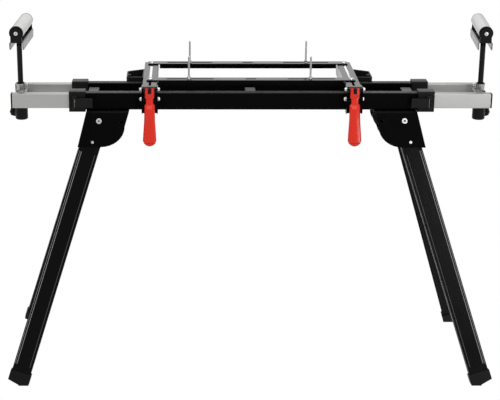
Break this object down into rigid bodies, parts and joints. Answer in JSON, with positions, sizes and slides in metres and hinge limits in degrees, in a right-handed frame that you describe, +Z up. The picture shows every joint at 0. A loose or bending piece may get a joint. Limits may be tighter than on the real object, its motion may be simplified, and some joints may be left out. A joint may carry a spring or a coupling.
{
  "type": "folding machine stand",
  "caption": "Folding steel stand with four splayed legs, sliding roller extensions and lever-clamped mounting bars for a bench saw.",
  "frame": {"origin": "on the floor, under the middle of the stand", "axes": "+X along the rails, +Z up, the user stands at -Y"},
  "size_m": [1.4326, 0.4934, 1.0395],
  "materials": {
    "black_anodised": "black anodised ribbed extrusion",
    "black_gloss": "smooth glossy black enamel on steel",
    "black_plastic": "satin black moulded plastic",
    "black_powder": "fine-textured black powder coat on steel",
    "black_rubber": "matt black moulded rubber",
    "red_plastic": "glossy red moulded plastic",
    "silver_anodised": "satin silver anodised extrusion",
    "zinc": "bright zinc-plated steel"
  },
  "bodies": {
    "frame": {"rail_frame": "black_powder", "collar_back_left": "black_plastic", "collar_back_right": "black_plastic", "collar_front_left": "black_plastic", "collar_front_right": "black_plastic", "leg_bracket_back_left": "black_powder", "leg_bracket_back_right": "black_powder", "leg_bracket_front_left": "black_powder", "leg_bracket_front_right": "black_powder", "leg_pivot_bolt_back_left": "zinc", "leg_pivot_bolt_back_right": "zinc", "leg_pivot_bolt_front_left": "zinc", "leg_pivot_bolt_front_right": "zinc"},
    "leg_front_left": {"leg_front_left": "black_anodised", "foot_front_left": "black_rubber"},
    "button_front_left": {"lock_button_front_left": "zinc"},
    "leg_back_left": {"leg_back_left": "black_anodised", "foot_back_left": "black_rubber"},
    "button_back_left": {"lock_button_back_left": "zinc"},
    "leg_front_right": {"leg_front_right": "black_anodised", "foot_front_right": "black_rubber"},
    "button_front_right": {"lock_button_front_right": "zinc"},
    "leg_back_right": {"leg_back_right": "black_anodised", "foot_back_right": "black_rubber"},
    "button_back_right": {"lock_button_back_right": "zinc"},
    "extension_left": {"extension_left": "silver_anodised", "end_cap_front_left": "black_plastic", "end_cap_back_left": "black_plastic", "post_sleeve_left": "silver_anodised", "post_socket_left": "black_plastic"},
    "cam_lever_left": {"cam_lever_left": "black_plastic"},
    "bush_left": {"post_bush_left": "black_plastic"},
    "roller_post_left": {"roller_post_left": "black_gloss"},
    "roller_left": {"roller_left": "silver_anodised"},
    "post_knob_left": {"post_knob_left": "black_plastic"},
    "extension_right": {"extension_right": "silver_anodised", "end_cap_front_right": "black_plastic", "end_cap_back_right": "black_plastic", "post_sleeve_right": "silver_anodised", "post_socket_right": "black_plastic"},
    "cam_lever_right": {"cam_lever_right": "black_plastic"},
    "bush_right": {"post_bush_right": "black_plastic"},
    "roller_post_right": {"roller_post_right": "black_gloss"},
    "roller_right": {"roller_right": "silver_anodised"},
    "post_knob_right": {"post_knob_right": "black_plastic"},
    "saw_mount": {"mount_bracket_left": "black_gloss", "mount_bracket_right": "black_gloss", "rear_tray_left": "black_plastic", "rear_tray_right": "black_plastic"},
    "bar_front": {"bar_front": "black_gloss"},
    "saw_bolt_front_left": {"saw_bolt_front_left": "zinc"},
    "saw_bolt_front_right": {"saw_bolt_front_right": "zinc"},
    "bar_back": {"bar_back": "black_gloss"},
    "saw_bolt_back_left": {"saw_bolt_back_left": "zinc"},
    "saw_bolt_back_right": {"saw_bolt_back_right": "zinc"},
    "clamp_lever_left": {"clamp_lever_left": "red_plastic"},
    "clamp_jaw_left": {"clamp_jaw_left": "black_gloss"},
    "clamp_lever_right": {"clamp_lever_right": "red_plastic"},
    "clamp_jaw_right": {"clamp_jaw_right": "black_gloss"}
  },
  "joints": [
    {"name": "leg_fold_front_left", "type": "hinge", "parent": "frame", "child": "leg_front_left", "pos_m": [-0.4415, -0.08086, 0.76832], "axis": [0, -0.981, 0.1942], "range_deg": [0, 104.3]},
    {"name": "lock_button_slide_front_left", "type": "slide", "parent": "leg_front_left", "child": "button_front_left", "axis": [0, -0.981, 0.1942], "range_m": [0, 0.0035]},
    {"name": "leg_fold_back_left", "type": "hinge", "parent": "frame", "child": "leg_back_left", "pos_m": [-0.4415, 0.08086, 0.76832], "axis": [0, -0.981, -0.1942], "range_deg": [0, 104.3]},
    {"name": "lock_button_slide_back_left", "type": "slide", "parent": "leg_back_left", "child": "button_back_left", "axis": [0, 0.981, 0.1942], "range_m": [0, 0.0035]},
    {"name": "leg_fold_front_right", "type": "hinge", "parent": "frame", "child": "leg_front_right", "pos_m": [0.4415, -0.05376, 0.76218], "axis": [0, 0.9734, -0.2289], "range_deg": [0, 106.81]},
    {"name": "lock_button_slide_front_right", "type": "slide", "parent": "leg_front_right", "child": "button_front_right", "axis": [0, -0.9734, 0.2289], "range_m": [0, 0.0035]},
    {"name": "leg_fold_back_right", "type": "hinge", "parent": "frame", "child": "leg_back_right", "pos_m": [0.4415, 0.05376, 0.76218], "axis": [0, 0.9734, 0.2289], "range_deg": [0, 106.81]},
    {"name": "lock_button_slide_back_right", "type": "slide", "parent": "leg_back_right", "child": "button_back_right", "axis": [0, 0.9734, 0.2289], "range_m": [0, 0.0035]},
    {"name": "extension_slide_left", "type": "slide", "parent": "frame", "child": "extension_left", "axis": [-1, 0, 0], "range_m": [-0.1297, 0.2]},
    {"name": "cam_lever_turn_left", "type": "hinge", "parent": "frame", "child": "cam_lever_left", "pos_m": [-0.5113, -0.089, 0.824], "axis": [0, 0, -1], "range_deg": [0, 100]},
    {"name": "post_swivel_left", "type": "hinge", "parent": "extension_left", "child": "bush_left", "pos_m": [-0.6753, 0, 0.836], "axis": [0, 0, 1], "continuous": true},
    {"name": "post_height_left", "type": "slide", "parent": "bush_left", "child": "roller_post_left", "axis": [0, 0, 1], "range_m": [-0.1, 0.05]},
    {"name": "roller_spin_left", "type": "hinge", "parent": "roller_post_left", "child": "roller_left", "pos_m": [-0.6753, 0, 1.019], "axis": [0.0436, 0.999, 0], "continuous": true},
    {"name": "post_knob_turn_left", "type": "hinge", "parent": "extension_left", "child": "post_knob_left", "pos_m": [-0.6753, 0, 0.768], "axis": [-0.7071, 0.7071, 0], "range_deg": [0, 360]},
    {"name": "extension_slide_right", "type": "slide", "parent": "frame", "child": "extension_right", "axis": [1, 0, 0], "range_m": [-0.1297, 0.2]},
    {"name": "cam_lever_turn_right", "type": "hinge", "parent": "frame", "child": "cam_lever_right", "pos_m": [0.5113, -0.089, 0.824], "axis": [0, 0, 1], "range_deg": [0, 100]},
    {"name": "post_swivel_right", "type": "hinge", "parent": "extension_right", "child": "bush_right", "pos_m": [0.6753, 0, 0.836], "axis": [0, 0, 1], "continuous": true},
    {"name": "post_height_right", "type": "slide", "parent": "bush_right", "child": "roller_post_right", "axis": [0, 0, 1], "range_m": [-0.1, 0.05]},
    {"name": "roller_spin_right", "type": "hinge", "parent": "roller_post_right", "child": "roller_right", "pos_m": [0.6753, 0, 1.019], "axis": [0.0785, 0.9969, 0], "continuous": true},
    {"name": "post_knob_turn_right", "type": "hinge", "parent": "extension_right", "child": "post_knob_right", "pos_m": [0.6753, 0, 0.768], "axis": [0.7071, 0.7071, 0], "range_deg": [0, 360]},
    {"name": "saw_mount_slide", "type": "slide", "parent": "frame", "child": "saw_mount", "axis": [1, 0, 0], "range_m": [-0.03, 0.03]},
    {"name": "bar_slide_front", "type": "slide", "parent": "saw_mount", "child": "bar_front", "axis": [0, 1, 0], "range_m": [-0.04, 0.1]},
    {"name": "saw_bolt_slide_front_left", "type": "slide", "parent": "bar_front", "child": "saw_bolt_front_left", "axis": [1, 0, 0], "range_m": [-0.06, 0.06]},
    {"name": "saw_bolt_slide_front_right", "type": "slide", "parent": "bar_front", "child": "saw_bolt_front_right", "axis": [1, 0, 0], "range_m": [-0.06, 0.06]},
    {"name": "bar_slide_back", "type": "slide", "parent": "saw_mount", "child": "bar_back", "axis": [0, 1, 0], "range_m": [-0.1, 0]},
    {"name": "saw_bolt_slide_back_left", "type": "slide", "parent": "bar_back", "child": "saw_bolt_back_left", "axis": [1, 0, 0], "range_m": [-0.06, 0.06]},
    {"name": "saw_bolt_slide_back_right", "type": "slide", "parent": "bar_back", "child": "saw_bolt_back_right", "axis": [1, 0, 0], "range_m": [-0.06, 0.06]},
    {"name": "clamp_lever_turn_left", "type": "hinge", "parent": "saw_mount", "child": "clamp_lever_left", "pos_m": [-0.2945, -0.099, 0.8665], "axis": [-1, 0, 0], "range_deg": [0, 100]},
    {"name": "clamp_jaw_turn_left", "type": "hinge", "parent": "saw_mount", "child": "clamp_jaw_left", "pos_m": [-0.2945, -0.088, 0.835], "axis": [-1, 0, 0], "range_deg": [0, 8]},
    {"name": "clamp_lever_turn_right", "type": "hinge", "parent": "saw_mount", "child": "clamp_lever_right", "pos_m": [0.2945, -0.099, 0.8665], "axis": [-1, 0, 0], "range_deg": [0, 100]},
    {"name": "clamp_jaw_turn_right", "type": "hinge", "parent": "saw_mount", "child": "clamp_jaw_right", "pos_m": [0.2945, -0.088, 0.835], "axis": [-1, 0, 0], "range_deg": [0, 8]}
  ],
  "couplings": [
    {"joint": "clamp_jaw_turn_left", "follows": "clamp_lever_turn_left", "ratio": 0.08},
    {"joint": "clamp_jaw_turn_right", "follows": "clamp_lever_turn_right", "ratio": 0.08}
  ]
}
